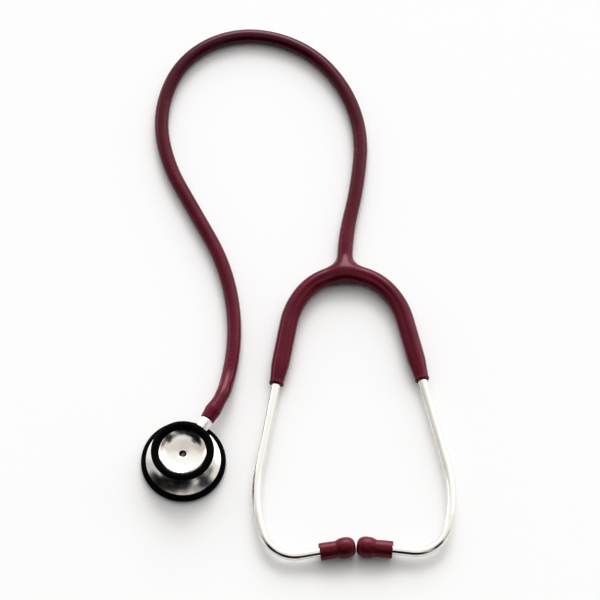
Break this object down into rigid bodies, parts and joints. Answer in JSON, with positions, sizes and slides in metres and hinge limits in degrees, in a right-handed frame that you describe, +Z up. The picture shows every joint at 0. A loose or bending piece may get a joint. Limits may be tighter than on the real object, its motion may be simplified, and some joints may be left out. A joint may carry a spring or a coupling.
{
  "type": "dual-head stethoscope",
  "caption": "Stethoscope: two-sided chestpiece turning on its stem, flexible tubing with a sprung yoke, bent metal ear tubes and screw-on ear tips.",
  "frame": {"origin": "centre of the flat underside of the diaphragm rim, on the table", "axes": "+Z up from the table through the bell, +Y towards the top of the tubing loop, +X from the chestpiece towards the headset"},
  "size_m": [0.1776, 0.3355, 0.0213],
  "materials": {
    "steel": "brushed satin",
    "chrome": "polished",
    "burgundy_pvc": "satin",
    "black_rubber": "matt",
    "diaphragm_sheet": "satin",
    "spring_steel": "satin",
    "brass": "satin"
  },
  "bodies": {
    "yoke": {"tubing_crown": "burgundy_pvc", "leaf_spring": "spring_steel"},
    "loop_right": {"tubing_loop_right": "burgundy_pvc"},
    "loop_left": {"tubing_loop_left": "burgundy_pvc"},
    "lower_tube": {"tubing_lower": "burgundy_pvc"},
    "tube_end": {"tubing_end": "burgundy_pvc", "stem": "chrome", "stem_seal_inner": "black_rubber", "stem_seal_outer": "black_rubber"},
    "chestpiece": {"chestpiece_body": "steel", "bell_rim": "black_rubber", "diaphragm": "diaphragm_sheet", "diaphragm_rim": "black_rubber", "stem_lock_screw": "spring_steel", "detent_screw": "spring_steel", "detent_spring": "spring_steel"},
    "ball": {"detent_ball": "spring_steel"},
    "left_arm": {"yoke_arm_left": "burgundy_pvc"},
    "right_arm": {"yoke_arm_right": "burgundy_pvc"},
    "left_ear_tube": {"ear_tube_left": "chrome"},
    "right_ear_tube": {"ear_tube_right": "chrome"},
    "left_eartip": {"eartip_left": "burgundy_pvc", "eartip_insert_left": "brass"},
    "right_eartip": {"eartip_right": "burgundy_pvc", "eartip_insert_right": "brass"}
  },
  "joints": [
    {"name": "tube_fold", "type": "hinge", "parent": "yoke", "child": "loop_right", "pos_m": [0.10128, 0.19059, 0.00413], "axis": [-0.9969, 0.0785, 0], "range_deg": [-35, 35]},
    {"name": "tube_spread", "type": "hinge", "parent": "loop_right", "child": "loop_left", "pos_m": [0.04202, 0.27105, 0.00413], "axis": [0, 0, -1], "range_deg": [0, 35]},
    {"name": "tube_sway", "type": "hinge", "parent": "loop_left", "child": "lower_tube", "pos_m": [-0.0146, 0.19934, 0.00413], "axis": [0, 0, -1], "range_deg": [0, 15]},
    {"name": "tube_droop", "type": "hinge", "parent": "lower_tube", "child": "tube_end", "pos_m": [0.02597, 0.05625, 0.00413], "axis": [0.9839, -0.1788, 0], "range_deg": [-35, 35]},
    {"name": "chestpiece_turn", "type": "hinge", "parent": "tube_end", "child": "chestpiece", "pos_m": [0, 0, 0.0105], "axis": [0.512, 0.859, 0], "range_deg": [-180, 180]},
    {"name": "detent_ball_travel", "type": "slide", "parent": "chestpiece", "child": "ball", "axis": [0, 0, 1], "range_m": [0, 0.0004], "deforming": ["detent_spring"]},
    {"name": "headset_open", "type": "hinge", "parent": "yoke", "child": "left_arm", "pos_m": [0.06831, 0.10311, 0.00525], "axis": [0.0001, -0.0045, -1], "range_deg": [0, 30], "deforming": ["leaf_spring"]},
    {"name": "headset_open_right", "type": "hinge", "parent": "yoke", "child": "right_arm", "pos_m": [0.11619, 0.10462, 0.00525], "axis": [0.0001, -0.0045, -1], "range_deg": [-30, 0]},
    {"name": "ear_tube_turn_left", "type": "hinge", "parent": "left_arm", "child": "left_ear_tube", "pos_m": [0.05231, 0.04547, 0.00551], "axis": [-0.1822, -0.9832, 0.0044], "range_deg": [-45, 45]},
    {"name": "ear_tube_turn_right", "type": "hinge", "parent": "right_arm", "child": "right_ear_tube", "pos_m": [0.13577, 0.04809, 0.00551], "axis": [0.2436, -0.9699, 0.0044], "range_deg": [-45, 45]},
    {"name": "eartip_turn_left", "type": "hinge", "parent": "left_ear_tube", "child": "left_eartip", "pos_m": [0.09187, -0.05254, 0.00595], "axis": [0.9845, 0.1754, -0.0006], "continuous": true},
    {"name": "eartip_turn_right", "type": "hinge", "parent": "right_ear_tube", "child": "right_eartip", "pos_m": [0.10245, -0.05221, 0.00595], "axis": [-0.9936, 0.1132, -0.0006], "continuous": true}
  ],
  "couplings": [
    {"joint": "headset_open_right", "follows": "headset_open", "ratio": -1},
    {"joint": "tube_sway", "follows": "headset_open", "ratio": 0.5}
  ]
}
